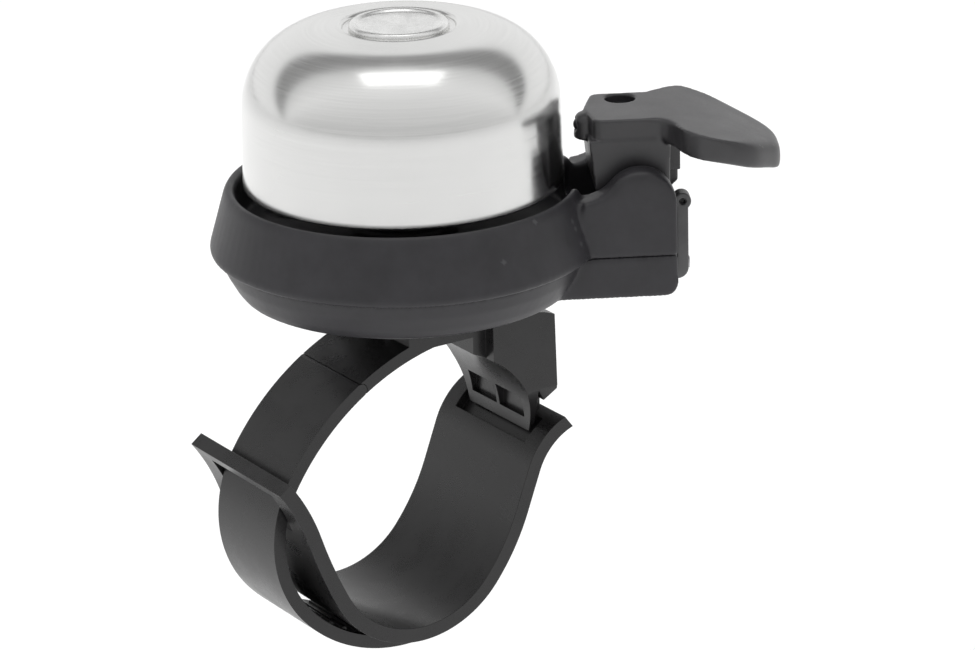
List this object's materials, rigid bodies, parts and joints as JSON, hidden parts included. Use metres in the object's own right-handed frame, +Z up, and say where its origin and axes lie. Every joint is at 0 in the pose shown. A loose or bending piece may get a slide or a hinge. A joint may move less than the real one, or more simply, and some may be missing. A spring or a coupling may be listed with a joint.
{
  "type": "bicycle bell",
  "caption": "Handlebar bell: a spun metal gong in a black cup, struck by a sprung thumb lever, turning on a saddle bracket that a two-piece strap holds to the bar.",
  "frame": {"origin": "on the axis of the clamped handlebar, midway along the lower strap's seat", "axes": "+X along the handlebar, +Z up along the bell's axis, +Y towards the strap's hooked end"},
  "size_m": [0.0502, 0.0594, 0.0721],
  "materials": {
    "gong": "spun and polished, fine rings",
    "cap": "dull, slightly rough",
    "steel": "plain zinc plated",
    "body_plastic": "moulded, fine satin grain",
    "strap_plastic": "moulded, semi-gloss",
    "seal": "matte",
    "nylon": "natural nylon"
  },
  "bodies": {
    "mount": {"bracket": "strap_plastic", "friction_washer": "nylon"},
    "head": {"dome": "gong", "dome_cap": "cap", "dome_washer": "seal", "dome_spacer": "nylon", "base_nut": "steel", "nut_washer": "steel", "centre_bolt": "steel", "wave_washer": "steel", "base_cup": "body_plastic", "bottom_cover": "body_plastic", "cover_screws": "steel", "lever_pin": "steel", "return_spring": "body_plastic", "spring_rivet": "steel"},
    "thumb_lever": {"lever": "body_plastic", "striker": "steel", "lever_weight": "steel"},
    "band": {"strap_upper": "strap_plastic", "strap_lower": "strap_plastic"}
  },
  "joints": [
    {"name": "head_swivel", "type": "hinge", "parent": "mount", "child": "head", "pos_m": [0, 0.00495, 0.03885], "axis": [0, 0, 1], "continuous": true},
    {"name": "lever_pivot", "type": "hinge", "parent": "head", "child": "thumb_lever", "pos_m": [0.01264, 0.02756, 0.03735], "axis": [-0.8729, 0.4879, 0], "range_deg": [-9, 25], "stiffness_Nm_per_rad": 0.05},
    {"name": "strap_open", "type": "hinge", "parent": "mount", "child": "band", "pos_m": [0, -0.00527, 0.01761], "axis": [1, 0, 0], "range_deg": [-40, 0], "stiffness_Nm_per_rad": 0.03}
  ]
}
